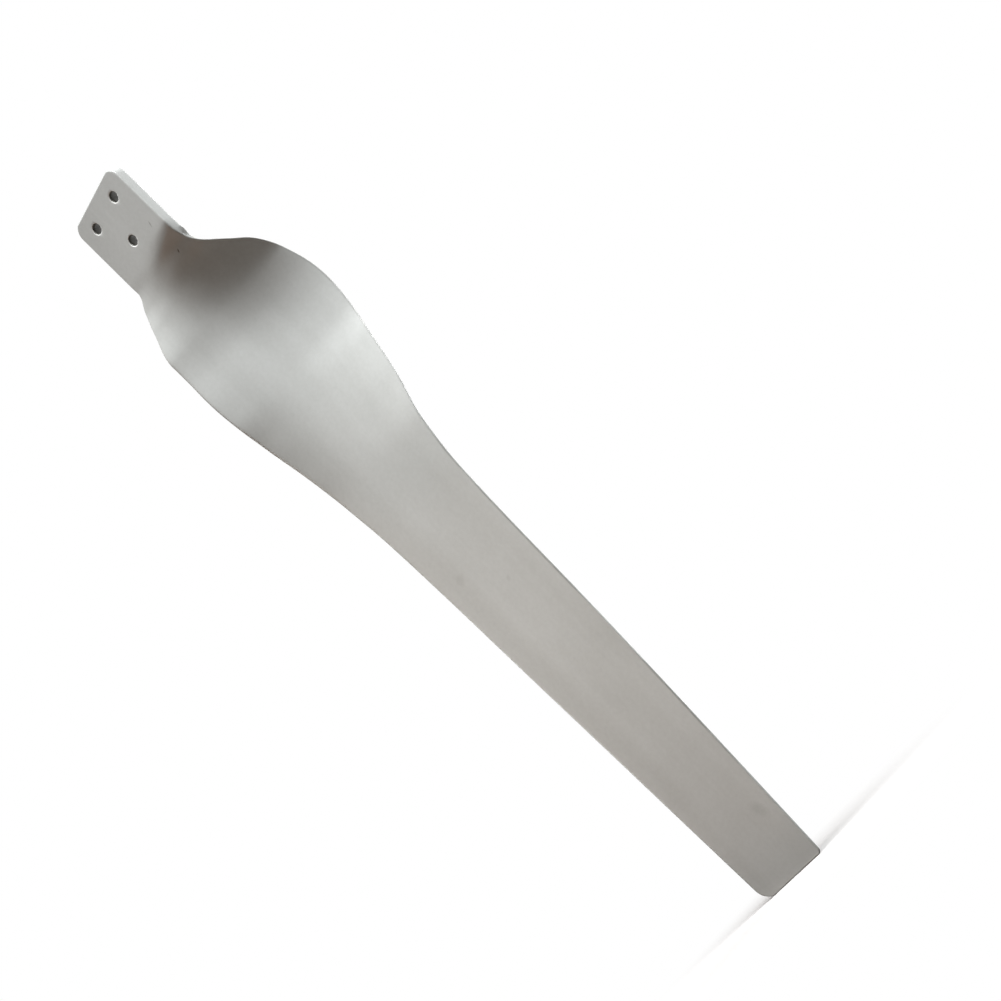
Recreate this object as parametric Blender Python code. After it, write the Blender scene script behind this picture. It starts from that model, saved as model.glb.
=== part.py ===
"""Wind turbine blade, moulded in one piece from its root plate to its tip.

The blade is a loft. A ring of points is worked out at each station along the span, and the rings
are bridged into one closed skin. At the root the ring is the flat bolt plate with rounded edges.
It turns into a twisted aerofoil section that is widest at the shoulder and narrows to the tip.
Three bolt holes with small chamfers are cut through the plate.

Metres. The blade hangs from its root plate: +Z runs from the tip up to the root, -Y is the front
that faces the wind, and +X is the side of the trailing edge. The origin is the centre of the bolt
holes on the plate's back face, which lies on the hub. Places along the span are given as distances
from the plate's end, and the last step of each shape turns them into this frame.
"""

from math import cos, pi, radians, sin, sqrt

import bmesh
import bpy
from mathutils import Vector

# Overall sizes
BLADE_LENGTH = 0.580
TWIST_AXIS_LEAD = 0.012
AXIS_SETBACK = 0.009
SETBACK_START = 0.050
SETBACK_END = 0.125

# Root plate
PLATE_WIDTH = 0.0577
PLATE_THICKNESS = 0.0075
PLATE_CORNER_RADIUS = 0.0075
EDGE_RADIUS = 0.0009

# Bolt holes, on an equal-sided triangle
HOLE_DIAMETER = 0.0070
HOLE_SPACING = 0.0281
HOLE_TO_END = 0.0127
HOLE_CHAMFER = 0.0005

# Places along the span, from the plate's end
TRAIL_TURN_AT = 0.047
TWIST_START = 0.054
LEAD_TURN_AT = 0.057
THROAT_AT = 0.060
NECK_AT = 0.067
CUFF_AT = 0.080
HOLLOW_AT = 0.089
FLARE_AT = 0.104
SHOULDER_AT = 0.134
CREST_AT = 0.156
BODY_AT = 0.180
HIP_AT = 0.210
WAIST_AT = 0.240
OUTER_AT = 0.275
MIDDLE_AT = 0.400

# Leading edge, as distances along the chord from the plate's centre line
NECK_LEAD = 0.0350
CUFF_LEAD = 0.0404
FLARE_LEAD = 0.0488
SHOULDER_LEAD = 0.0500
BODY_LEAD = 0.0463
HIP_LEAD = 0.0430
WAIST_LEAD = 0.0408
OUTER_LEAD = 0.0382
MIDDLE_LEAD = 0.0353
TIP_LEAD = 0.0311

# Trailing edge, as distances along the chord from the plate's centre line
THROAT_TRAIL = 0.0265
NECK_TRAIL = 0.0280
CUFF_TRAIL = 0.0374
HOLLOW_TRAIL = 0.0453
FLARE_TRAIL = 0.0512
SHOULDER_TRAIL = 0.0556
BODY_TRAIL = 0.0509
HIP_TRAIL = 0.0477
WAIST_TRAIL = 0.0415
OUTER_TRAIL = 0.0368
MIDDLE_TRAIL = 0.0323
TIP_TRAIL = 0.0227

# Pitch of the section, nose forward
NECK_PITCH = radians(7.2)
CUFF_PITCH = radians(18.8)
FLARE_PITCH = radians(33.0)
SHOULDER_PITCH = radians(35.7)
CREST_PITCH = radians(33.7)
BODY_PITCH = radians(26.0)
HIP_PITCH = radians(16.6)
WAIST_PITCH = radians(9.9)
OUTER_PITCH = radians(8.2)
TIP_PITCH = radians(4.0)

# Thickness of the section
CUFF_THICKNESS = 0.0086
OUTER_THICKNESS = 0.0070
TIP_THICKNESS = 0.0036
SHOULDER_NOSE = 0.0046
TIP_NOSE = 0.0024
TAIL_THICKNESS = 0.0018
CREST_SHARE = 0.32
BACK_BIAS = 0.55
CAMBER_SHARE = 0.018

# Tip corners, seen from the front
TIP_LEAD_RADIUS = 0.0095
TIP_TRAIL_RADIUS = 0.0030

# How finely the skin is divided
ARC_STEPS = 4
CHORD_STEPS = 15
CUFF_STEP = 0.0036
BODY_STEP = 0.0075
OUTER_STEP = 0.0160
HOLE_SIDES = 32

SURFACE_COLOUR = (0.60, 0.61, 0.59, 1.0)
SURFACE_ROUGHNESS = 0.38


def clear_scene():
    """Remove every object, so that a second run starts clean."""
    for item in list(bpy.data.objects):
        bpy.data.objects.remove(item, do_unlink=True)


def smooth_step(low, high, value):
    """Rise from 0 at low to 1 at high with level ends."""
    share = min(max((value - low) / (high - low), 0.0), 1.0)
    return share * share * (3.0 - 2.0 * share)


def blend(first, second, share):
    return first + (second - first) * share


def curve_through(stations, place):
    """Read a smooth curve that passes its (place, value) stations without overshoot."""
    places = [station[0] for station in stations]
    values = [station[1] for station in stations]
    if place <= places[0]:
        return values[0]
    if place >= places[-1]:
        return values[-1]
    slopes = [(values[i + 1] - values[i]) / (places[i + 1] - places[i]) for i in range(len(places) - 1)]
    index = max(i for i in range(len(slopes)) if places[i] <= place)
    start = tangent(places, slopes, index)
    end = tangent(places, slopes, index + 1)
    width = places[index + 1] - places[index]
    t = (place - places[index]) / width
    rise = values[index + 1] - values[index]
    return values[index] + (
        rise * t * t * (3.0 - 2.0 * t)
        + width * start * t * (1.0 - t) ** 2
        - width * end * t * t * (1.0 - t)
    )


def tangent(places, slopes, index):
    """Slope at one station: level at a turning point, else the harmonic mean of its sides."""
    if index == 0:
        return 0.0
    if index == len(slopes):
        return slopes[-1]
    before = slopes[index - 1]
    after = slopes[index]
    if before * after <= 0.0:
        return 0.0
    first = places[index] - places[index - 1]
    second = places[index + 1] - places[index]
    heavy = 2.0 * second + first
    light = second + 2.0 * first
    return (heavy + light) / (heavy / before + light / after)


def corner_cut(radius, distance):
    """How far a rounded corner has drawn in at this distance from the end it rounds."""
    if distance >= radius:
        return 0.0
    return radius - sqrt(max(radius * radius - (radius - distance) ** 2, 0.0))


def lead_offset(z):
    stations = [
        (LEAD_TURN_AT, PLATE_WIDTH / 2.0),
        (NECK_AT, NECK_LEAD),
        (CUFF_AT, CUFF_LEAD),
        (FLARE_AT, FLARE_LEAD),
        (SHOULDER_AT, SHOULDER_LEAD),
        (BODY_AT, BODY_LEAD),
        (HIP_AT, HIP_LEAD),
        (WAIST_AT, WAIST_LEAD),
        (OUTER_AT, OUTER_LEAD),
        (MIDDLE_AT, MIDDLE_LEAD),
        (BLADE_LENGTH, TIP_LEAD),
    ]
    offset = curve_through(stations, z)
    offset -= corner_cut(PLATE_CORNER_RADIUS, z)
    return offset - corner_cut(TIP_LEAD_RADIUS, BLADE_LENGTH - z)


def trail_offset(z):
    stations = [
        (TRAIL_TURN_AT, PLATE_WIDTH / 2.0),
        (THROAT_AT, THROAT_TRAIL),
        (NECK_AT, NECK_TRAIL),
        (CUFF_AT, CUFF_TRAIL),
        (HOLLOW_AT, HOLLOW_TRAIL),
        (FLARE_AT, FLARE_TRAIL),
        (SHOULDER_AT, SHOULDER_TRAIL),
        (BODY_AT, BODY_TRAIL),
        (HIP_AT, HIP_TRAIL),
        (WAIST_AT, WAIST_TRAIL),
        (OUTER_AT, OUTER_TRAIL),
        (MIDDLE_AT, MIDDLE_TRAIL),
        (BLADE_LENGTH, TIP_TRAIL),
    ]
    offset = curve_through(stations, z)
    offset -= corner_cut(PLATE_CORNER_RADIUS, z)
    return offset - corner_cut(TIP_TRAIL_RADIUS, BLADE_LENGTH - z)


def pitch_at(z):
    stations = [
        (TWIST_START, 0.0),
        (NECK_AT, NECK_PITCH),
        (CUFF_AT, CUFF_PITCH),
        (FLARE_AT, FLARE_PITCH),
        (SHOULDER_AT, SHOULDER_PITCH),
        (CREST_AT, CREST_PITCH),
        (BODY_AT, BODY_PITCH),
        (HIP_AT, HIP_PITCH),
        (WAIST_AT, WAIST_PITCH),
        (OUTER_AT, OUTER_PITCH),
        (BLADE_LENGTH, TIP_PITCH),
    ]
    return curve_through(stations, z)


def axis_depth(z):
    """Where the twist axis lies front to back: mid plate at the root, further back along the blade."""
    return AXIS_SETBACK * smooth_step(SETBACK_START, SETBACK_END, z) - PLATE_THICKNESS / 2.0


def section_sizes(z):
    """Half heights of the section at one place along the span, and how far it is an aerofoil."""
    end_cut = corner_cut(EDGE_RADIUS, z) + corner_cut(EDGE_RADIUS, BLADE_LENGTH - z)
    height = curve_through(
        [
            (TWIST_START, PLATE_THICKNESS),
            (FLARE_AT, CUFF_THICKNESS),
            (OUTER_AT, OUTER_THICKNESS),
            (BLADE_LENGTH, TIP_THICKNESS),
        ],
        z,
    )
    nose = curve_through(
        [(TRAIL_TURN_AT, PLATE_THICKNESS), (SHOULDER_AT, SHOULDER_NOSE), (BLADE_LENGTH, TIP_NOSE)], z
    )
    tail = blend(PLATE_THICKNESS, TAIL_THICKNESS, smooth_step(TRAIL_TURN_AT, NECK_AT, z))
    form = smooth_step(TRAIL_TURN_AT, SHOULDER_AT, z)
    return height / 2.0 - end_cut, nose / 2.0 - end_cut, tail / 2.0 - end_cut, form


def half_height(distance, chord, crest, half, nose, tail, nose_round, tail_round):
    """Half the section's thickness at a distance behind the leading edge."""
    if distance < crest:
        rise = nose + (half - nose) * (1.0 - (1.0 - distance / crest) ** 2)
    else:
        rise = tail + (half - tail) * (1.0 - ((distance - crest) / (chord - crest)) ** 1.6)
    rise -= corner_cut(nose_round, distance)
    return rise - corner_cut(tail_round, chord - distance)


def chord_places(chord, nose_round, tail_round):
    """Distances behind the leading edge: close together round both edges, even between them."""
    arc = [1.0 - cos(pi / 2.0 * i / ARC_STEPS) for i in range(ARC_STEPS)]
    front = [nose_round * share for share in arc]
    span = chord - nose_round - tail_round
    middle = [nose_round + span * i / CHORD_STEPS for i in range(CHORD_STEPS + 1)]
    rear = [chord - tail_round * share for share in reversed(arc)]
    return front + middle + rear


def section_ring(z):
    """One closed ring of points, from the leading edge over the front and home over the back."""
    half, nose, tail, form = section_sizes(z)
    lead = lead_offset(z)
    chord = lead + trail_offset(z)
    crest = chord * CREST_SHARE
    nose_round = blend(EDGE_RADIUS, nose * 0.92, form)
    tail_round = min(EDGE_RADIUS, tail * 0.75)
    bias = BACK_BIAS * form
    camber = CAMBER_SHARE * chord * form
    pitch = pitch_at(z)
    axis_y = axis_depth(z)
    front = []
    back = []
    for distance in chord_places(chord, nose_round, tail_round):
        height = half_height(distance, chord, crest, half, nose, tail, nose_round, tail_round)
        share = distance / chord
        edge_line = blend(nose - nose_round, tail - tail_round, share)
        middle = bias * (height - edge_line) + camber * 4.0 * share * (1.0 - share)
        for side, points in ((-1.0, front), (1.0, back)):
            across = lead - distance - TWIST_AXIS_LEAD
            deep = middle + side * height
            x = TWIST_AXIS_LEAD + across * cos(pitch) + deep * sin(pitch)
            y = axis_y - across * sin(pitch) + deep * cos(pitch)
            points.append((x, y))
    ring = front + list(reversed(back))
    return [hanging(x, y, z) for x, y in ring]


def hole_centre_distance():
    """Distance from the plate's end to the middle of the three holes."""
    return HOLE_TO_END + HOLE_SPACING * sqrt(3.0) / 6.0


def hanging(lead, deep, along):
    """Turn a point, given as leading side, depth and distance from the plate's end, root up."""
    return Vector((-lead, deep, hole_centre_distance() - along))


def evenly(start, end, step):
    """Places after start up to end, about one step apart."""
    count = max(1, round((end - start) / step))
    return [start + (end - start) * (i + 1) / count for i in range(count)]


def stations():
    """Places of the rings: close at both ends and through the cuff, wide along the outer blade."""
    quarter = [1.0 - cos(pi / 2.0 * i / 6) for i in range(7)]
    near = [PLATE_CORNER_RADIUS * share for share in quarter]
    near += [EDGE_RADIUS * share for share in (0.134, 0.5)]
    far = [BLADE_LENGTH - TIP_LEAD_RADIUS * share for share in quarter]
    far += [BLADE_LENGTH - EDGE_RADIUS * share for share in (0.134, 0.5)]
    places = near + [TRAIL_TURN_AT]
    places += evenly(TRAIL_TURN_AT, SHOULDER_AT, CUFF_STEP)
    places += evenly(SHOULDER_AT, OUTER_AT, BODY_STEP)
    places += evenly(OUTER_AT, BLADE_LENGTH - TIP_LEAD_RADIUS, OUTER_STEP)
    places = sorted(places + far)
    kept = [places[0]]
    for place in places[1:]:
        if place - kept[-1] > EDGE_RADIUS * 0.1:
            kept.append(place)
    return kept


def loft_skin():
    """Bridge the rings into one closed skin with a face over each end."""
    mesh = bmesh.new()
    loops = []
    for place in stations():
        verts = [mesh.verts.new(point) for point in section_ring(place)]
        loops.append([mesh.edges.new((verts[i - 1], verts[i])) for i in range(len(verts))])
    for first, second in zip(loops, loops[1:]):
        bmesh.ops.bridge_loops(mesh, edges=first + second)
    bmesh.ops.holes_fill(mesh, edges=loops[0], sides=0)
    bmesh.ops.holes_fill(mesh, edges=loops[-1], sides=0)
    bmesh.ops.recalc_face_normals(mesh, faces=mesh.faces)
    return mesh


def hole_places():
    """Centres of the three holes, as x and z from the origin, with the single one towards the tip."""
    reach = HOLE_SPACING / sqrt(3.0)
    return [(reach * sin(2.0 * pi * i / 3.0), -reach * cos(2.0 * pi * i / 3.0)) for i in range(3)]


def hole_cutter():
    """Three turned cutters in one hidden object, flared where they leave the plate's faces."""
    radius = HOLE_DIAMETER / 2.0
    flare = radius + HOLE_CHAMFER
    beyond = 0.002
    profile = [
        (0.0, beyond),
        (flare + beyond, beyond),
        (radius, -HOLE_CHAMFER),
        (radius, HOLE_CHAMFER - PLATE_THICKNESS),
        (flare + beyond, -PLATE_THICKNESS - beyond),
        (0.0, -PLATE_THICKNESS - beyond),
    ]
    mesh = bmesh.new()
    for centre_x, centre_z in hole_places():
        verts = [mesh.verts.new((centre_x + r, y, centre_z)) for r, y in profile]
        edges = [mesh.edges.new((verts[i], verts[i + 1])) for i in range(len(verts) - 1)]
        bmesh.ops.spin(
            mesh,
            geom=verts + edges,
            cent=(centre_x, 0.0, centre_z),
            axis=(0.0, 1.0, 0.0),
            angle=2.0 * pi,
            steps=HOLE_SIDES,
            use_merge=True,
        )
    bmesh.ops.remove_doubles(mesh, verts=mesh.verts, dist=1e-6)
    bmesh.ops.recalc_face_normals(mesh, faces=mesh.faces)
    cutter = new_object("hole_cutter", mesh)
    cutter.hide_render = True
    cutter.display_type = "WIRE"
    return cutter


def new_object(name, mesh):
    """Store a bmesh as an object of this name."""
    data = bpy.data.meshes.new(name)
    mesh.to_mesh(data)
    mesh.free()
    item = bpy.data.objects.new(name, data)
    bpy.context.scene.collection.objects.link(item)
    return item


def moulded_nylon():
    """Pale grey satin plastic."""
    material = bpy.data.materials.new("moulded_nylon")
    material.use_nodes = True
    shader = material.node_tree.nodes["Principled BSDF"]
    shader.inputs["Base Color"].default_value = SURFACE_COLOUR
    shader.inputs["Roughness"].default_value = SURFACE_ROUGHNESS
    shader.inputs["Metallic"].default_value = 0.0
    return material


def build_blade():
    """The blade's skin, with the bolt holes cut through its plate."""
    blade = new_object("blade", loft_skin())
    blade.data.materials.append(moulded_nylon())
    blade.data.shade_smooth()
    blade.data.set_sharp_from_angle(angle=radians(35.0))
    cut = blade.modifiers.new("bolt_holes", "BOOLEAN")
    cut.operation = "DIFFERENCE"
    cut.solver = "EXACT"
    cut.object = hole_cutter()
    return blade


clear_scene()
build_blade()
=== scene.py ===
"""Looks of the wind turbine blade: its smooth moulded skin, its satin nylon and a plain studio.

The blade hangs from its root plate. +Z runs from the tip up to the root, -Y is the front, and +X
is the side of the trailing edge. Sizes are metres. Places along the span are distances from the
plate's end, and hanging() turns them into this frame.
"""

from math import cos, pi, radians, sin, sqrt

import bmesh
import bpy
from bpy.props import FloatProperty, FloatVectorProperty, PointerProperty
from mathutils import Matrix, Vector


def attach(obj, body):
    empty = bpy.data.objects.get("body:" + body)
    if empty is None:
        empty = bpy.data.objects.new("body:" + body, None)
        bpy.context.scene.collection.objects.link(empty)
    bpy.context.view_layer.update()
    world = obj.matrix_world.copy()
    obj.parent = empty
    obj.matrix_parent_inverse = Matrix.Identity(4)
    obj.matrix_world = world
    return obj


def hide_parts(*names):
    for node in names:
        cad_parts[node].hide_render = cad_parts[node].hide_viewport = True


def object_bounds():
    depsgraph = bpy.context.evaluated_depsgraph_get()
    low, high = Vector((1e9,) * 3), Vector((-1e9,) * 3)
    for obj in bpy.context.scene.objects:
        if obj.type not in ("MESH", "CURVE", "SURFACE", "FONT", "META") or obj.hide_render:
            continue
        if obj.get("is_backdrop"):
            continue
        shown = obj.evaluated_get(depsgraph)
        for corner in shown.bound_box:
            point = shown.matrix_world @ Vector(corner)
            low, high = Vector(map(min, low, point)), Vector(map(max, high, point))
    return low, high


bl_info = {
    "name": "Wind turbine blade",
    "version": (1, 0, 0),
    "blender": (4, 5, 0),
    "location": "3D View > Sidebar > Blade",
    "description": "Builds a moulded wind turbine blade and a plain studio round it",
    "category": "Add Mesh",
}

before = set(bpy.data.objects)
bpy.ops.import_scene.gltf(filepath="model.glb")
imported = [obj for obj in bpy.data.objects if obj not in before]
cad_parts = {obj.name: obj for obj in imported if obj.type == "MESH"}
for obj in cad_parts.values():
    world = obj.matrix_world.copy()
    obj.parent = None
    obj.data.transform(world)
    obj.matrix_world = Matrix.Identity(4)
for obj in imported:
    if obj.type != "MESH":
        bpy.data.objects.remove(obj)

# Overall sizes
BLADE_LENGTH = 0.580
TWIST_AXIS_LEAD = 0.012
AXIS_SETBACK = 0.009
SETBACK_START = 0.050
SETBACK_END = 0.125

# Root plate
PLATE_WIDTH = 0.0577
PLATE_THICKNESS = 0.0075
PLATE_CORNER_RADIUS = 0.0075
EDGE_RADIUS = 0.0009

# Bolt holes, on an equal-sided triangle
HOLE_SPACING = 0.0281
HOLE_TO_END = 0.0127

# Places along the span, from the plate's end
TRAIL_TURN_AT = 0.047
TWIST_START = 0.054
LEAD_TURN_AT = 0.057
THROAT_AT = 0.060
NECK_AT = 0.067
CUFF_AT = 0.080
HOLLOW_AT = 0.089
FLARE_AT = 0.104
SHOULDER_AT = 0.134
CREST_AT = 0.156
BODY_AT = 0.180
HIP_AT = 0.210
WAIST_AT = 0.240
OUTER_AT = 0.275
MIDDLE_AT = 0.400

# Leading edge, as distances along the chord from the plate's centre line
NECK_LEAD = 0.0350
CUFF_LEAD = 0.0404
FLARE_LEAD = 0.0488
SHOULDER_LEAD = 0.0500
BODY_LEAD = 0.0463
HIP_LEAD = 0.0430
WAIST_LEAD = 0.0408
OUTER_LEAD = 0.0382
MIDDLE_LEAD = 0.0353
TIP_LEAD = 0.0311

# Trailing edge, as distances along the chord from the plate's centre line
THROAT_TRAIL = 0.0265
NECK_TRAIL = 0.0280
CUFF_TRAIL = 0.0374
HOLLOW_TRAIL = 0.0453
FLARE_TRAIL = 0.0512
SHOULDER_TRAIL = 0.0556
BODY_TRAIL = 0.0509
HIP_TRAIL = 0.0477
WAIST_TRAIL = 0.0415
OUTER_TRAIL = 0.0368
MIDDLE_TRAIL = 0.0323
TIP_TRAIL = 0.0227

# Where the trailing side's back stops lying flat while the plate thins towards the front
FLAT_BACK_TO = 0.057

# Pitch of the section, nose forward
NECK_PITCH = radians(7.2)
CUFF_PITCH = radians(18.8)
FLARE_PITCH = radians(33.0)
SHOULDER_PITCH = radians(35.7)
CREST_PITCH = radians(33.7)
BODY_PITCH = radians(26.0)
HIP_PITCH = radians(16.6)
WAIST_PITCH = radians(9.9)
OUTER_PITCH = radians(8.2)
TIP_PITCH = radians(4.0)

# Thickness of the section, and how it falls off and is rounded towards its edges
CUFF_THICKNESS = 0.0086
OUTER_THICKNESS = 0.0070
TIP_THICKNESS = 0.0036
SHOULDER_NOSE = 0.0046
TIP_NOSE = 0.0024
TAIL_THICKNESS = 0.0018
CREST_SHARE = 0.32
BACK_BIAS = 0.55
CAMBER_SHARE = 0.018
TAIL_FALL = 1.6
NOSE_ROUNDING = 0.92
TAIL_ROUNDING = 0.75

# Tip corners, seen from the front
TIP_LEAD_RADIUS = 0.0095
TIP_TRAIL_RADIUS = 0.0030

# How finely the skin and the holes are divided
ARC_STEPS = 6
CHORD_STEPS = 44
END_STEPS = 10
CUFF_STEP = 0.0016
BODY_STEP = 0.0028
OUTER_STEP = 0.0070
CLOSEST_RINGS = EDGE_RADIUS * 0.02
HOLE_SIDES = 72
LIP_STEPS = 3
CUTTER_OVERRUN = 0.002
MERGE_DISTANCE = 1e-6
SHARP_ANGLE = radians(38.0)

# Patterns in the nylon, in waves per metre, and the flow marks' lean from the span in radians
CLOUD_WAVES = 16.0
STREAK_WAVES = (60.0, 60.0, 4.0)
MOTTLE_WAVES = 420.0
BLOT_WAVES = 900.0
GRAIN_WAVES = 2600.0
RIPPLE_WAVES = 34.0
NOISE_ROUGHNESS = 0.55
FLOW_LEAN = -0.056

# Where painted shade begins and is full: heights on the blade, distances from an edge, cloud
# levels
EDGE_SHADE_SPAN = (-0.060, -0.120)
TIP_SHADE_SPAN = (-0.420, -0.570)
EDGE_SHADE_REACH = (0.0016, 0.0003)
EDGE_SHADE_CLOUDS = (0.38, 0.60)

# Where a hole's painted lip highlight and painted wall shade begin and are full, out from the
# wall
LIP_RISE = (0.00006, 0.00020)
LIP_FADE = 0.00040
WALL_REACH = (0.00012, 0.00004)
# How strongly the hole walls are darkened, as painted shade
WALL_SHADE = 0.8
# Colour of the painted highlight on the holes' lips
LIP_HIGHLIGHT_COLOUR = (0.80, 0.82, 0.80)

# How much the patterns change the roughness and the height of the surface
CLOUD_ROUGHNESS = 0.10
STREAK_ROUGHNESS = 0.08
SOIL_AND_SHADE_ROUGHNESS = 0.25
GRAIN_HEIGHT = 0.35
MOTTLE_HEIGHT = 0.30
RELIEF_HEIGHT = 0.00012
NYLON_IOR = 1.45

# How deep a small mark reaches, how ragged it is, and where it begins and is full
MARK_DEPTH = 0.004
MARK_RAGGEDNESS = 0.8
MARK_RIM = (1.3, 0.2)

# Small marks: middle, half width, half length, turn in radians, and strength
SCRATCH = ((0.01906, -0.0075, -0.0208), 0.0004, 0.0022, 0.347, 0.60)
FLECK = ((0.01522, -0.0028, -0.0428), 0.0005, 0.0016, 0.72, 0.90)
UPPER_SMUDGE = ((-0.02007, 0.0036, -0.2994), 0.0034, 0.0046, 0.6, 0.10)
MIDDLE_SMUDGE = ((0.00488, 0.0072, -0.3205), 0.0016, 0.0022, 0.0, 0.10)
TIP_SMUDGE = ((0.01301, 0.0072, -0.5178), 0.0046, 0.0070, -0.5, 0.12)
MARKS = (SCRATCH, FLECK, UPPER_SMUDGE, MIDDLE_SMUDGE, TIP_SMUDGE)

# The camera, from a fit through the plate's edges, the holes and the tip
CAMERA_PLACE = (0.89267, -0.99977, -0.47006)
CAMERA_RIGHT = (0.47090, 0.52484, -0.70908)
CAMERA_UP = (0.60844, 0.38880, 0.69184)
CAMERA_LENS = 82.717
CAMERA_SHIFT = (-0.0005, 0.0005)
CAMERA_NEAR = 0.01

# Soft lights, which face the middle of the blade: a long strip high above the trailing side, a
# weak warm panel low at the leading side, and a wide one behind
LIT_POINT = (0.0, 0.0, -0.20)
KEY_PLACE = (0.833, -0.513, 1.812)
KEY_SIZE = (0.530, 3.490)
KEY_ROLL = 0.760
FILL_PLACE = (-0.300, -0.410, -0.410)
FILL_SIZE = (0.345, 0.600)
FILL_ROLL = 0.150
BACK_PLACE = (0.100, 1.300, 0.050)
BACK_SIZE = (1.000, 1.200)

# A soft panel with a narrow spread, low at the leading side, which faces the outer blade
SIDE_POINT = (0.0, 0.0, -0.360)
SIDE_PLACE = (-0.560, -0.420, -0.450)
SIDE_SIZE = (0.450, 0.450)
SIDE_SPREAD = radians(42.0)

# Half the floor's side, and the level distances from the origin between which it goes over into
# the white background
FLOOR_REACH = 6.0
FLOOR_LIT_TO = 0.03
FLOOR_WHITE_FROM = 0.18


def smooth_step(low, high, value):
    """Rise from 0 at low to 1 at high with level ends."""
    share = min(max((value - low) / (high - low), 0.0), 1.0)
    return share * share * (3.0 - 2.0 * share)


def blend(first, second, share):
    """Go from the first value to the second by a share from 0 to 1."""
    return first + (second - first) * share


def curve_through(stations, place):
    """Read a smooth curve that passes its (place, value) stations without overshoot."""
    places = [station[0] for station in stations]
    values = [station[1] for station in stations]
    if place <= places[0]:
        return values[0]
    if place >= places[-1]:
        return values[-1]
    slopes = [
        (values[i + 1] - values[i]) / (places[i + 1] - places[i]) for i in range(len(places) - 1)
    ]
    index = max(i for i in range(len(slopes)) if places[i] <= place)
    start = tangent(places, slopes, index)
    end = tangent(places, slopes, index + 1)
    width = places[index + 1] - places[index]
    t = (place - places[index]) / width
    rise = values[index + 1] - values[index]
    return values[index] + (
        rise * t * t * (3.0 - 2.0 * t)
        + width * start * t * (1.0 - t) ** 2
        - width * end * t * t * (1.0 - t)
    )


def tangent(places, slopes, index):
    """Slope at one station: level at a turning point, else the harmonic mean of its sides."""
    if index == 0:
        return 0.0
    if index == len(slopes):
        return slopes[-1]
    before = slopes[index - 1]
    after = slopes[index]
    if before * after <= 0.0:
        return 0.0
    first = places[index] - places[index - 1]
    second = places[index + 1] - places[index]
    heavy = 2.0 * second + first
    light = second + 2.0 * first
    return (heavy + light) / (heavy / before + light / after)


def corner_cut(radius, distance):
    """How far a rounded corner has drawn in at this distance from the end it rounds."""
    if distance >= radius:
        return 0.0
    return radius - sqrt(max(radius * radius - (radius - distance) ** 2, 0.0))


def lead_offset(z):
    """Chordwise distance of the leading edge from the plate's centre line."""
    stations = [
        (LEAD_TURN_AT, PLATE_WIDTH / 2.0),
        (NECK_AT, NECK_LEAD),
        (CUFF_AT, CUFF_LEAD),
        (FLARE_AT, FLARE_LEAD),
        (SHOULDER_AT, SHOULDER_LEAD),
        (BODY_AT, BODY_LEAD),
        (HIP_AT, HIP_LEAD),
        (WAIST_AT, WAIST_LEAD),
        (OUTER_AT, OUTER_LEAD),
        (MIDDLE_AT, MIDDLE_LEAD),
        (BLADE_LENGTH, TIP_LEAD),
    ]
    offset = curve_through(stations, z)
    offset -= corner_cut(PLATE_CORNER_RADIUS, z)
    return offset - corner_cut(TIP_LEAD_RADIUS, BLADE_LENGTH - z)


def trail_offset(z):
    """Chordwise distance of the trailing edge from the plate's centre line."""
    stations = [
        (TRAIL_TURN_AT, PLATE_WIDTH / 2.0),
        (THROAT_AT, THROAT_TRAIL),
        (NECK_AT, NECK_TRAIL),
        (CUFF_AT, CUFF_TRAIL),
        (HOLLOW_AT, HOLLOW_TRAIL),
        (FLARE_AT, FLARE_TRAIL),
        (SHOULDER_AT, SHOULDER_TRAIL),
        (BODY_AT, BODY_TRAIL),
        (HIP_AT, HIP_TRAIL),
        (WAIST_AT, WAIST_TRAIL),
        (OUTER_AT, OUTER_TRAIL),
        (MIDDLE_AT, MIDDLE_TRAIL),
        (BLADE_LENGTH, TIP_TRAIL),
    ]
    offset = curve_through(stations, z)
    offset -= corner_cut(PLATE_CORNER_RADIUS, z)
    return offset - corner_cut(TIP_TRAIL_RADIUS, BLADE_LENGTH - z)


def pitch_at(z):
    """Pitch of the section, nose forward."""
    stations = [
        (TWIST_START, 0.0),
        (NECK_AT, NECK_PITCH),
        (CUFF_AT, CUFF_PITCH),
        (FLARE_AT, FLARE_PITCH),
        (SHOULDER_AT, SHOULDER_PITCH),
        (CREST_AT, CREST_PITCH),
        (BODY_AT, BODY_PITCH),
        (HIP_AT, HIP_PITCH),
        (WAIST_AT, WAIST_PITCH),
        (OUTER_AT, OUTER_PITCH),
        (BLADE_LENGTH, TIP_PITCH),
    ]
    return curve_through(stations, z)


def axis_depth(z):
    """Where the twist axis lies front to back: mid plate at the root, set back on the blade."""
    return AXIS_SETBACK * smooth_step(SETBACK_START, SETBACK_END, z) - PLATE_THICKNESS / 2.0


def section_sizes(z):
    """Half heights of the section at one place on the span, and how far it is an aerofoil."""
    end_cut = corner_cut(EDGE_RADIUS, z) + corner_cut(EDGE_RADIUS, BLADE_LENGTH - z)
    height = curve_through(
        [
            (TWIST_START, PLATE_THICKNESS),
            (FLARE_AT, CUFF_THICKNESS),
            (OUTER_AT, OUTER_THICKNESS),
            (BLADE_LENGTH, TIP_THICKNESS),
        ],
        z,
    )
    nose = curve_through(
        [
            (TRAIL_TURN_AT, PLATE_THICKNESS),
            (SHOULDER_AT, SHOULDER_NOSE),
            (BLADE_LENGTH, TIP_NOSE),
        ],
        z,
    )
    tail = blend(PLATE_THICKNESS, TAIL_THICKNESS, smooth_step(TRAIL_TURN_AT, NECK_AT, z))
    form = smooth_step(TRAIL_TURN_AT, SHOULDER_AT, z)
    return height / 2.0 - end_cut, nose / 2.0 - end_cut, tail / 2.0 - end_cut, form


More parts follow.
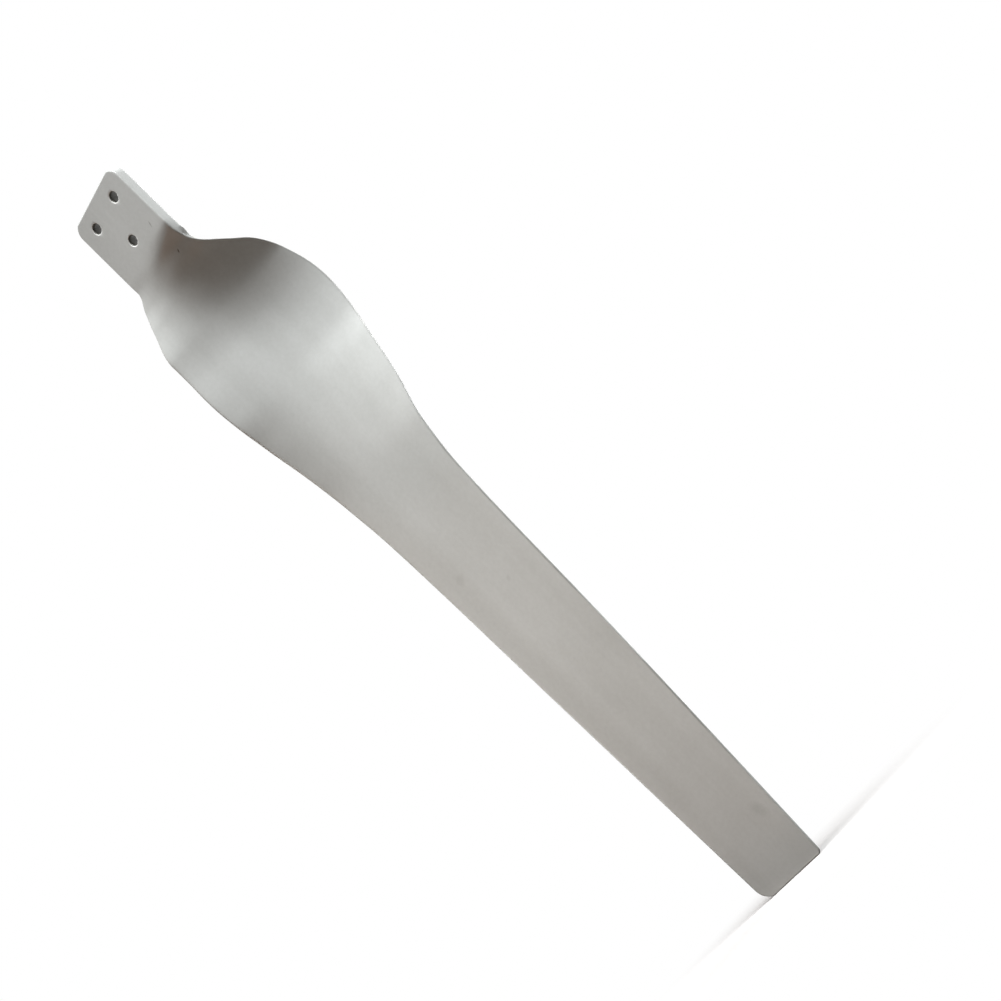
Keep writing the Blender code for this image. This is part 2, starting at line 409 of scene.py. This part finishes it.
def half_height(distance, chord, crest, half, nose, tail, nose_round, tail_round):
    """Half the section's thickness at a distance behind the leading edge."""
    if distance < crest:
        rise = nose + (half - nose) * (1.0 - (1.0 - distance / crest) ** 2)
    else:
        rise = tail + (half - tail) * (1.0 - ((distance - crest) / (chord - crest)) ** TAIL_FALL)
    rise -= corner_cut(nose_round, distance)
    return rise - corner_cut(tail_round, chord - distance)


def chord_places(chord, nose_round, tail_round):
    """Distances behind the leading edge: close together round both edges, even between them."""
    arc = [1.0 - cos(pi / 2.0 * i / ARC_STEPS) for i in range(ARC_STEPS)]
    front = [nose_round * share for share in arc]
    span = chord - nose_round - tail_round
    middle = [nose_round + span * i / CHORD_STEPS for i in range(CHORD_STEPS + 1)]
    rear = [chord - tail_round * share for share in reversed(arc)]
    return front + middle + rear


def back_flatness(z):
    """1 where the trailing side's back still lies flat as the plate's, 0 from the neck on."""
    return 1.0 - smooth_step(FLAT_BACK_TO, NECK_AT, z)


def back_reach(z):
    """How much further the back rim of the trailing side runs straight on than its front edge."""
    if z <= TRAIL_TURN_AT:
        return 0.0
    drawn_in = max(PLATE_WIDTH / 2.0 - trail_offset(z), 0.0)
    return drawn_in * back_flatness(z)


def section_ring(z):
    """One closed ring of points, out from the leading edge over the front, home over the back."""
    half, nose, tail, form = section_sizes(z)
    lead = lead_offset(z)
    chord = lead + trail_offset(z)
    crest = chord * CREST_SHARE
    nose_round = blend(EDGE_RADIUS, nose * NOSE_ROUNDING, form)
    tail_round = min(EDGE_RADIUS, tail * TAIL_ROUNDING)
    bias = BACK_BIAS * form
    camber = CAMBER_SHARE * chord * form
    pitch = pitch_at(z)
    axis_y = axis_depth(z)
    flat_back = (half - tail) * back_flatness(z)
    straight = back_reach(z) / chord
    front = []
    back = []
    for distance in chord_places(chord, nose_round, tail_round):
        height = half_height(distance, chord, crest, half, nose, tail, nose_round, tail_round)
        share = distance / chord
        edge_line = blend(nose - nose_round, tail - tail_round, share)
        middle = bias * (height - edge_line) + camber * 4.0 * share * (1.0 - share)
        middle += flat_back * max((distance - crest) / (chord - crest), 0.0) ** TAIL_FALL
        for side, points in ((-1.0, front), (1.0, back)):
            reach = distance * (1.0 + straight * max(side, 0.0))
            across = lead - reach - TWIST_AXIS_LEAD
            deep = middle + side * height
            x = TWIST_AXIS_LEAD + across * cos(pitch) + deep * sin(pitch)
            y = axis_y - across * sin(pitch) + deep * cos(pitch)
            points.append((x, y))
    ring = front + list(reversed(back))
    return [hanging(x, y, z) for x, y in ring]


def rim_distances(ring):
    """Distance of each point of a ring from the nearer of its two edges."""
    half = len(ring) // 2
    lead = (ring[0] + ring[-1]) / 2.0
    trail = (ring[half - 1] + ring[half]) / 2.0
    return [min((point - lead).length, (point - trail).length) for point in ring]


def hole_centre_distance():
    """Distance from the plate's end to the middle of the three holes."""
    return HOLE_TO_END + HOLE_SPACING * sqrt(3.0) / 6.0


def hanging(lead, deep, along):
    """Turn a point, given as leading side, depth and distance from the plate's end, root up."""
    return Vector((-lead, deep, hole_centre_distance() - along))


def evenly(start, end, step):
    """Places after start up to end, about one step apart."""
    count = max(1, round((end - start) / step))
    return [start + (end - start) * (i + 1) / count for i in range(count)]


def rounded_end(radius):
    """Distances from an end, close together where the corner turns fastest."""
    return [radius * (1.0 - cos(pi / 2.0 * i / END_STEPS)) for i in range(END_STEPS + 1)]


def ring_places():
    """Places of the rings: close at both ends and in the cuff, wide along the outer blade."""
    near = rounded_end(PLATE_CORNER_RADIUS) + rounded_end(EDGE_RADIUS)
    far = rounded_end(TIP_LEAD_RADIUS) + rounded_end(TIP_TRAIL_RADIUS)
    far += rounded_end(EDGE_RADIUS)
    places = near + evenly(PLATE_CORNER_RADIUS, TRAIL_TURN_AT, BODY_STEP)
    places += evenly(TRAIL_TURN_AT, SHOULDER_AT, CUFF_STEP)
    places += evenly(SHOULDER_AT, OUTER_AT, BODY_STEP)
    places += evenly(OUTER_AT, BLADE_LENGTH - TIP_LEAD_RADIUS, OUTER_STEP)
    places = sorted(places + [BLADE_LENGTH - distance for distance in far])
    kept = [places[0]]
    for place in places[1:]:
        if place - kept[-1] > CLOSEST_RINGS:
            kept.append(place)
    return kept


def loft_skin():
    """Bridge the rings into one closed skin, whose points know how near an edge they are."""
    mesh = bmesh.new()
    rim = mesh.verts.layers.float.new("rim")
    loops = []
    for place in ring_places():
        ring = section_ring(place)
        verts = [mesh.verts.new(point) for point in ring]
        for vert, distance in zip(verts, rim_distances(ring)):
            vert[rim] = distance
        loops.append([mesh.edges.new((verts[i - 1], verts[i])) for i in range(len(verts))])
    for first, second in zip(loops, loops[1:]):
        bmesh.ops.bridge_loops(mesh, edges=first + second)
    bmesh.ops.holes_fill(mesh, edges=loops[0], sides=0)
    bmesh.ops.holes_fill(mesh, edges=loops[-1], sides=0)
    bmesh.ops.recalc_face_normals(mesh, faces=mesh.faces)
    return mesh


def hole_places():
    """Centres of the three holes, as x and z, with the single one towards the tip."""
    reach = HOLE_SPACING / sqrt(3.0)
    turns = [2.0 * pi * i / 3.0 for i in range(3)]
    return [(reach * sin(turn), -reach * cos(turn)) for turn in turns]


def hole_profile(radius, lip):
    """Half profile of a hole through the plate, with a softly rolled lip at both faces."""
    beyond_back = CUTTER_OVERRUN
    beyond_front = -PLATE_THICKNESS - CUTTER_OVERRUN
    back = []
    for step in range(LIP_STEPS + 1):
        turn = pi / 2.0 * step / LIP_STEPS
        back.append((radius + lip * (1.0 - sin(turn)), -lip * (1.0 - cos(turn))))
    front = [(reach, -PLATE_THICKNESS - y) for reach, y in reversed(back)]
    entry = [(0.0, beyond_back), (back[0][0], beyond_back)]
    leave = [(front[-1][0], beyond_front), (0.0, beyond_front)]
    return entry + back + front + leave


def hole_cutter(radius, lip):
    """Three turned cutters in one mesh."""
    mesh = bmesh.new()
    profile = hole_profile(radius, lip)
    for centre_x, centre_z in hole_places():
        verts = [mesh.verts.new((centre_x + reach, y, centre_z)) for reach, y in profile]
        edges = [mesh.edges.new((verts[i], verts[i + 1])) for i in range(len(verts) - 1)]
        bmesh.ops.spin(
            mesh,
            geom=verts + edges,
            cent=(centre_x, 0.0, centre_z),
            axis=(0.0, 1.0, 0.0),
            angle=2.0 * pi,
            steps=HOLE_SIDES,
            use_merge=True,
        )
    bmesh.ops.remove_doubles(mesh, verts=mesh.verts, dist=MERGE_DISTANCE)
    bmesh.ops.recalc_face_normals(mesh, faces=mesh.faces)
    return new_object("hole_cutter", mesh)


def new_object(name, mesh):
    """Store a bmesh as an object of this name."""
    data = bpy.data.meshes.new(name)
    mesh.to_mesh(data)
    mesh.free()
    item = bpy.data.objects.new(name, data)
    bpy.context.scene.collection.objects.link(item)
    return item


class Wire:
    """A value in a shader, on which plain arithmetic adds Math nodes."""

    def __init__(self, paint, socket):
        self.paint = paint
        self.socket = socket

    def maths(self, operation, first, second):
        return self.paint.node("Math", {"operation": operation}, {0: first, 1: second})

    def __add__(self, other):
        return self.maths("ADD", self, other)

    def __radd__(self, other):
        return self.maths("ADD", other, self)

    def __sub__(self, other):
        return self.maths("SUBTRACT", self, other)

    def __rsub__(self, other):
        return self.maths("SUBTRACT", other, self)

    def __mul__(self, other):
        return self.maths("MULTIPLY", self, other)

    def __rmul__(self, other):
        return self.maths("MULTIPLY", other, self)

    def at_most(self, other):
        return self.maths("MINIMUM", self, other)

    def at_least(self, other):
        return self.maths("MAXIMUM", self, other)


class Paint:
    """A node tree that is written line by line."""

    def __init__(self, owner):
        owner.use_nodes = True
        self.tree = owner.node_tree
        self.tree.nodes.clear()

    def node(self, kind, settings=None, values=None, output=0):
        """Add a node, set it up, fill or link its sockets, and return one output."""
        item = self.tree.nodes.new("ShaderNode" + kind)
        for name, setting in (settings or {}).items():
            setattr(item, name, setting)
        for name, value in (values or {}).items():
            if isinstance(value, Wire):
                self.tree.links.new(value.socket, item.inputs[name])
            else:
                item.inputs[name].default_value = value
        if len(item.outputs) == 0:
            return item
        return Wire(self, item.outputs[output])


def noise(paint, place, scale, detail):
    """Soft noise from 0 to 1 at so many waves a metre."""
    values = {"Vector": place, "Scale": scale, "Detail": detail, "Roughness": NOISE_ROUGHNESS}
    return paint.node("TexNoise", None, values, "Fac")


def ramp(paint, value, nothing_at, full_at):
    """Rise softly from 0 at one value to 1 at another."""
    values = {"Value": value, "From Min": nothing_at, "From Max": full_at}
    return paint.node("MapRange", {"interpolation_type": "SMOOTHSTEP"}, values, "Result")


def mark(paint, place, blot, spot):
    """Strength of one small mark, with a ragged edge."""
    centre, half_width, half_length, turn, strength = spot
    values = {
        "Vector": place,
        "Location": centre,
        "Rotation": (0.0, turn, 0.0),
        "Scale": (half_width, MARK_DEPTH, half_length),
    }
    inside = paint.node("Mapping", {"vector_type": "TEXTURE"}, values)
    distance = paint.node("VectorMath", {"operation": "LENGTH"}, {0: inside}, "Value")
    return ramp(paint, distance + (blot - 0.5) * MARK_RAGGEDNESS, *MARK_RIM) * strength


def nearest_hole(paint, place):
    """Distance from the nearest bolt hole's middle line."""
    flat = paint.node("VectorMath", {"operation": "MULTIPLY"}, {0: place, 1: (1.0, 0.0, 1.0)})
    nearest = 1.0
    for centre_x, centre_z in hole_places():
        values = {0: flat, 1: (centre_x, 0.0, centre_z)}
        distance = paint.node("VectorMath", {"operation": "DISTANCE"}, values, "Value")
        nearest = distance.at_most(nearest)
    return nearest


def colour_mix(paint, factor, first, second):
    """Go from the first colour to the second by a factor from 0 to 1."""
    values = {"Factor": factor, "A": first, "B": second}
    return paint.node("Mix", {"data_type": "RGBA"}, values, "Result")


def moulded_nylon(finish, sizes):
    """Pale grey satin nylon: flow marks, mottling, fine grain, small marks, painted shade,
    highlights.
    """
    material = bpy.data.materials.new("moulded_nylon")
    paint = Paint(material)
    place = paint.node("TexCoord", output="Object")
    along = paint.node("SeparateXYZ", None, {"Vector": place}, "Z")
    lean = {"Vector": place, "Rotation": (0.0, FLOW_LEAN, 0.0), "Scale": STREAK_WAVES}
    clouds = noise(paint, place, CLOUD_WAVES, 3.0)
    streaks = noise(paint, paint.node("Mapping", None, lean), 1.0, 4.0)
    mottle = noise(paint, place, MOTTLE_WAVES, 3.0)
    blot = noise(paint, place, BLOT_WAVES, 2.0)
    grain = noise(paint, place, GRAIN_WAVES, 2.0)
    ripple = noise(paint, place, RIPPLE_WAVES, 1.0)

    tone = 0.5 + (clouds - 0.5) * finish.cloudiness + (streaks - 0.5) * finish.streakiness
    tone = tone + (mottle - 0.5) * finish.mottling
    colour = colour_mix(paint, tone, (*finish.dark_tone, 1.0), (*finish.pale_tone, 1.0))

    # Painted shade: a thin dark line along parts of both edges, where their rounding turns from
    # the light
    rim = paint.node("Attribute", {"attribute_name": "rim"}, None, "Fac")
    on_blade = ramp(paint, along, *EDGE_SHADE_SPAN)
    edge = ramp(paint, rim, *EDGE_SHADE_REACH) * on_blade * ramp(paint, clouds, *EDGE_SHADE_CLOUDS)
    # Painted shade: darker and warmer towards the tip, where the light falls off
    tip = ramp(paint, along, *TIP_SHADE_SPAN)
    soil_and_shade = edge * finish.edge_shade + tip * finish.tip_shade
    # The small marks are real dirt, added to the painted shade of the edges and the tip
    for spot in MARKS:
        soil_and_shade = soil_and_shade + mark(paint, place, blot, spot)
    soil_and_shade = soil_and_shade.at_most(1.0)
    colour = colour_mix(paint, soil_and_shade, colour, (*finish.soil_and_shade_colour, 1.0))

    outward = nearest_hole(paint, place) - sizes.hole_diameter / 2.0
    past_lip = (sizes.hole_lip + LIP_FADE, sizes.hole_lip)
    # Painted highlight: a pale ring round the lip of each bolt hole
    lip = ramp(paint, outward, *LIP_RISE) * ramp(paint, outward, *past_lip)
    colour = colour_mix(paint, lip * finish.lip_highlight, colour, (*LIP_HIGHLIGHT_COLOUR, 1.0))
    # Painted shade: the walls of the bolt holes are darkened
    wall = ramp(paint, outward, *WALL_REACH)
    colour = colour_mix(paint, wall * WALL_SHADE, colour, (*finish.soil_and_shade_colour, 1.0))

    roughness = finish.roughness + (clouds - 0.5) * CLOUD_ROUGHNESS
    roughness = roughness + (streaks - 0.5) * STREAK_ROUGHNESS + soil_and_shade * SOIL_AND_SHADE_ROUGHNESS
    height = grain * GRAIN_HEIGHT + mottle * MOTTLE_HEIGHT + ripple
    relief = {"Height": height, "Strength": finish.relief, "Distance": RELIEF_HEIGHT}
    bump = paint.node("Bump", None, relief, "Normal")
    values = {"Base Color": colour, "Roughness": roughness, "Normal": bump, "IOR": NYLON_IOR}
    shader = paint.node("BsdfPrincipled", None, values, "BSDF")
    paint.node("OutputMaterial", None, {"Surface": shader})
    return material


def pale_floor_paint(studio):
    """Pale matt floor that keeps the shadow and turns into the white background further out."""
    material = bpy.data.materials.new("pale_floor")
    paint = Paint(material)
    place = paint.node("TexCoord", output="Object")
    level = paint.node("VectorMath", {"operation": "MULTIPLY"}, {0: place, 1: (1.0, 1.0, 0.0)})
    distance = paint.node("VectorMath", {"operation": "LENGTH"}, {0: level}, "Value")
    fade = ramp(paint, distance, FLOOR_LIT_TO, FLOOR_WHITE_FROM)
    lit = paint.node("BsdfDiffuse", None, {"Color": (*studio.floor_colour, 1.0)})
    glow = paint.node("Emission", None, {"Color": (1.0, 1.0, 1.0, 1.0), "Strength": 1.0})
    shown = paint.node("MixShader", None, {0: fade, 1: lit, 2: glow})
    bounce = paint.node("BsdfDiffuse", None, {"Color": (*studio.bounce_colour, 1.0)})
    surface = paint.node("MixShader", None, {0: seen_directly(paint), 1: bounce, 2: shown})
    paint.node("OutputMaterial", None, {"Surface": surface})
    return material


def seen_directly(paint):
    """1 for what is seen, also in a gloss or through glass, and 0 for light on the object."""
    straight = paint.node("LightPath", output="Is Camera Ray")
    gloss = paint.node("LightPath", output="Is Glossy Ray")
    through = paint.node("LightPath", output="Is Transmission Ray")
    return straight.at_least(gloss).at_least(through)


class BladeSizes(bpy.types.PropertyGroup):
    """Sizes of the bolt holes."""

    hole_diameter: FloatProperty(
        name="Hole diameter",
        description="Width of each bolt hole",
        default=0.0070,
        min=0.001,
        unit="LENGTH",
    )
    hole_lip: FloatProperty(
        name="Hole lip",
        description="How far the rolled lip of a hole reaches",
        default=0.0005,
        min=0.0001,
        unit="LENGTH",
    )


class BladeFinish(bpy.types.PropertyGroup):
    """Colours and surface of the moulded nylon."""

    pale_tone: FloatVectorProperty(
        name="Pale tone",
        description="Nylon colour where the flow marks are palest",
        default=(0.612, 0.638, 0.632),
        min=0.0,
        max=1.0,
        subtype="COLOR",
    )
    dark_tone: FloatVectorProperty(
        name="Dark tone",
        description="Nylon colour where the flow marks are darkest",
        default=(0.470, 0.490, 0.478),
        min=0.0,
        max=1.0,
        subtype="COLOR",
    )
    cloudiness: FloatProperty(
        name="Cloudiness",
        description="How strongly broad patches change the tone",
        default=0.80,
        min=0.0,
        max=1.0,
        subtype="FACTOR",
    )
    streakiness: FloatProperty(
        name="Streaks",
        description="How strongly flow marks along the span change the tone",
        default=0.80,
        min=0.0,
        max=1.0,
        subtype="FACTOR",
    )
    roughness: FloatProperty(
        name="Roughness",
        description="Roughness of the satin surface",
        default=0.18,
        min=0.0,
        max=1.0,
        subtype="FACTOR",
    )
    mottling: FloatProperty(
        name="Mottling",
        description="How strongly small spots change the tone",
        default=0.50,
        min=0.0,
        max=1.0,
        subtype="FACTOR",
    )
    # Colour of the small marks' dirt and of the painted shade on the edges, the tip and the hole
    # walls
    soil_and_shade_colour: FloatVectorProperty(
        name="Soil",
        description="Colour of dirt in small marks and of painted shade in the holes, along the edges and at the tip",
        default=(0.105, 0.098, 0.082),
        min=0.0,
        max=1.0,
        subtype="COLOR",
    )
    # Strength of the painted shade along parts of both edges
    edge_shade: FloatProperty(
        name="Painted edge shade",
        description="Strength of the thin dark line along parts of both edges",
        default=0.45,
        min=0.0,
        max=1.0,
        subtype="FACTOR",
    )
    # Strength of the painted shade towards the tip
    tip_shade: FloatProperty(
        name="Painted tip shade",
        description="How much darker and warmer the blade is at its tip",
        default=0.09,
        min=0.0,
        max=1.0,
        subtype="FACTOR",
    )
    # Strength of the painted highlight round the bolt holes' lips
    lip_highlight: FloatProperty(
        name="Hole lips",
        description="How pale the painted highlight on the lips of the bolt holes is",
        default=0.70,
        min=0.0,
        max=1.0,
        subtype="FACTOR",
    )
    relief: FloatProperty(
        name="Relief",
        description="Strength of the fine grain",
        default=0.25,
        min=0.0,
        max=1.0,
        subtype="FACTOR",
    )


class BladeStudio(bpy.types.PropertyGroup):
    """Light, floor and background of the studio."""

    key_power: FloatProperty(
        name="Key light",
        description="Power of the long soft strip above the root, in watts",
        default=134.0,
        min=0.0,
        subtype="POWER",
    )
    fill_power: FloatProperty(
        name="Fill light",
        description="Power of the warm panel at the leading side, in watts",
        default=0.32,
        min=0.0,
        subtype="POWER",
    )
    side_power: FloatProperty(
        name="Side light",
        description="Power of the soft panel that faces the outer blade, in watts",
        default=0.30,
        min=0.0,
        subtype="POWER",
    )
    back_power: FloatProperty(
        name="Back light",
        description="Power of the wide soft light behind the blade, in watts",
        default=12.0,
        min=0.0,
        subtype="POWER",
    )
    key_colour: FloatVectorProperty(
        name="Key colour",
        description="Colour of the strip light and of the back light",
        default=(1.0, 1.0, 1.0),
        min=0.0,
        max=1.0,
        subtype="COLOR",
    )
    side_colour: FloatVectorProperty(
        name="Side colour",
        description="Colour of the soft panel that faces the outer blade",
        default=(0.98, 0.98, 0.94),
        min=0.0,
        max=1.0,
        subtype="COLOR",
    )
    fill_colour: FloatVectorProperty(
        name="Fill colour",
        description="Colour of the warm panel at the leading side",
        default=(1.0, 0.40, 0.10),
        min=0.0,
        max=1.0,
        subtype="COLOR",
    )
    ambient_colour: FloatVectorProperty(
        name="Ambient",
        description="Colour of the weak light from all round",
        default=(0.030, 0.013, 0.003),
        min=0.0,
        max=1.0,
        subtype="COLOR",
    )
    floor_colour: FloatVectorProperty(
        name="Floor",
        description="Colour of the pale floor as it is seen",
        default=(0.63, 0.63, 0.63),
        min=0.0,
        max=1.0,
        subtype="COLOR",
    )
    bounce_colour: FloatVectorProperty(
        name="Floor bounce",
        description="Colour of the light that the floor throws back",
        default=(0.025, 0.022, 0.018),
        min=0.0,
        max=1.0,
        subtype="COLOR",
    )


class OBJECT_OT_blade_body(bpy.types.Operator):
    """Make the blade's smooth skin with its bolt holes, in place of the plain solid"""

    bl_idname = "object.blade_body"
    bl_label = "Blade"

    def execute(self, context):
        sizes = context.scene.blade_sizes
        blade = new_object("blade_skin", loft_skin())
        cutter = hole_cutter(sizes.hole_diameter / 2.0, sizes.hole_lip)
        cut = blade.modifiers.new("bolt_holes", "BOOLEAN")
        cut.operation = "DIFFERENCE"
        cut.solver = "EXACT"
        cut.object = cutter
        bpy.context.view_layer.update()
        finished = blade.evaluated_get(context.evaluated_depsgraph_get())
        blade.data = bpy.data.meshes.new_from_object(finished)
        blade.modifiers.clear()
        bpy.data.objects.remove(cutter, do_unlink=True)
        blade.data.shade_smooth()
        blade.data.set_sharp_from_angle(angle=SHARP_ANGLE)
        blade.data.materials.clear()
        blade.data.materials.append(moulded_nylon(context.scene.blade_finish, sizes))
        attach(blade, "root")
        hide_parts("blade")
        return {"FINISHED"}


def area_light(name, place, aim, size, roll, power, colour, spread=pi):
    """A rectangular soft light that faces one point of the blade."""
    lamp = bpy.data.lights.new(name, "AREA")
    lamp.shape = "RECTANGLE"
    lamp.size = size[0]
    lamp.size_y = size[1]
    lamp.energy = power
    lamp.color = colour
    lamp.spread = spread
    item = bpy.data.objects.new(name, lamp)
    bpy.context.scene.collection.objects.link(item)
    direction = Vector(place) - Vector(aim)
    facing = direction.to_track_quat("Z", "Y").to_matrix().to_4x4()
    turn = facing @ Matrix.Rotation(roll, 4, "Z")
    item.matrix_world = Matrix.Translation(place) @ turn
    item.visible_camera = False


def white_world(studio):
    """A background that is white to the camera and dim to the object."""
    world = bpy.data.worlds.new("studio")
    bpy.context.scene.world = world
    paint = Paint(world)
    seen = seen_directly(paint)
    pale = {"Color": (1.0, 1.0, 1.0, 1.0), "Strength": 1.0}
    dim = {"Color": (*studio.ambient_colour, 1.0), "Strength": 1.0}
    white = paint.node("Background", None, pale)
    ambient = paint.node("Background", None, dim)
    surface = paint.node("MixShader", None, {0: seen, 1: ambient, 2: white})
    paint.node("OutputWorld", None, {"Surface": surface})


def floor_under(low, studio):
    """A wide square floor at the blade's lowest point."""
    mesh = bmesh.new()
    place = Matrix.Translation((0.0, 0.0, low))
    bmesh.ops.create_grid(mesh, x_segments=1, y_segments=1, size=FLOOR_REACH, matrix=place)
    floor = new_object("studio_floor", mesh)
    floor.data.materials.append(pale_floor_paint(studio))
    floor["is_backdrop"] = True


def photo_camera():
    """The camera, turned so that the root is at the upper left."""
    data = bpy.data.cameras.new("photo_camera")
    data.lens = CAMERA_LENS
    data.clip_start = CAMERA_NEAR
    data.shift_x, data.shift_y = CAMERA_SHIFT
    item = bpy.data.objects.new("photo_camera", data)
    bpy.context.scene.collection.objects.link(item)
    right = Vector(CAMERA_RIGHT).normalized()
    back = right.cross(Vector(CAMERA_UP)).normalized()
    up = back.cross(right)
    turn = Matrix((right, up, back)).transposed().to_4x4()
    item.matrix_world = Matrix.Translation(CAMERA_PLACE) @ turn
    bpy.context.scene.camera = item


class OBJECT_OT_blade_stage(bpy.types.Operator):
    """Make the floor, the white background, the soft lights and the camera"""

    bl_idname = "object.blade_stage"
    bl_label = "Stage"

    def execute(self, context):
        studio = context.scene.blade_studio
        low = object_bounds()[0][2]
        floor_under(low, studio)
        white_world(studio)
        key = (studio.key_power, studio.key_colour)
        fill = (studio.fill_power, studio.fill_colour)
        side = (studio.side_power, studio.side_colour, SIDE_SPREAD)
        back = (studio.back_power, studio.key_colour)
        area_light("key_light", KEY_PLACE, LIT_POINT, KEY_SIZE, KEY_ROLL, *key)
        area_light("fill_light", FILL_PLACE, LIT_POINT, FILL_SIZE, FILL_ROLL, *fill)
        area_light("side_light", SIDE_PLACE, SIDE_POINT, SIDE_SIZE, 0.0, *side)
        area_light("back_light", BACK_PLACE, LIT_POINT, BACK_SIZE, 0.0, *back)
        photo_camera()
        context.scene.view_settings.view_transform = "Standard"
        return {"FINISHED"}


class VIEW3D_PT_blade(bpy.types.Panel):
    """Lists the blade's settings and steps in the sidebar"""

    bl_idname = "VIEW3D_PT_blade"
    bl_label = "Wind turbine blade"
    bl_space_type = "VIEW_3D"
    bl_region_type = "UI"
    bl_category = "Blade"

    def draw(self, context):
        layout = self.layout
        scene = context.scene
        for group in (scene.blade_sizes, scene.blade_finish, scene.blade_studio):
            for name in group.__annotations__:
                layout.prop(group, name)
        layout.operator(OBJECT_OT_blade_body.bl_idname)
        layout.operator(OBJECT_OT_blade_stage.bl_idname)


CLASSES = (
    BladeSizes,
    BladeFinish,
    BladeStudio,
    OBJECT_OT_blade_body,
    OBJECT_OT_blade_stage,
    VIEW3D_PT_blade,
)


def register():
    """Add the settings, the steps and the panel to Blender."""
    for item in CLASSES:
        bpy.utils.register_class(item)
    bpy.types.Scene.blade_sizes = PointerProperty(type=BladeSizes)
    bpy.types.Scene.blade_finish = PointerProperty(type=BladeFinish)
    bpy.types.Scene.blade_studio = PointerProperty(type=BladeStudio)


def unregister():
    """Take the settings, the steps and the panel out again."""
    del bpy.types.Scene.blade_studio
    del bpy.types.Scene.blade_finish
    del bpy.types.Scene.blade_sizes
    for item in reversed(CLASSES):
        bpy.utils.unregister_class(item)


def main():
    """Run the steps in order."""
    register()
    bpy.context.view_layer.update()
    bpy.ops.object.blade_body()
    bpy.ops.object.blade_stage()


if __name__ == "__main__":
    main()
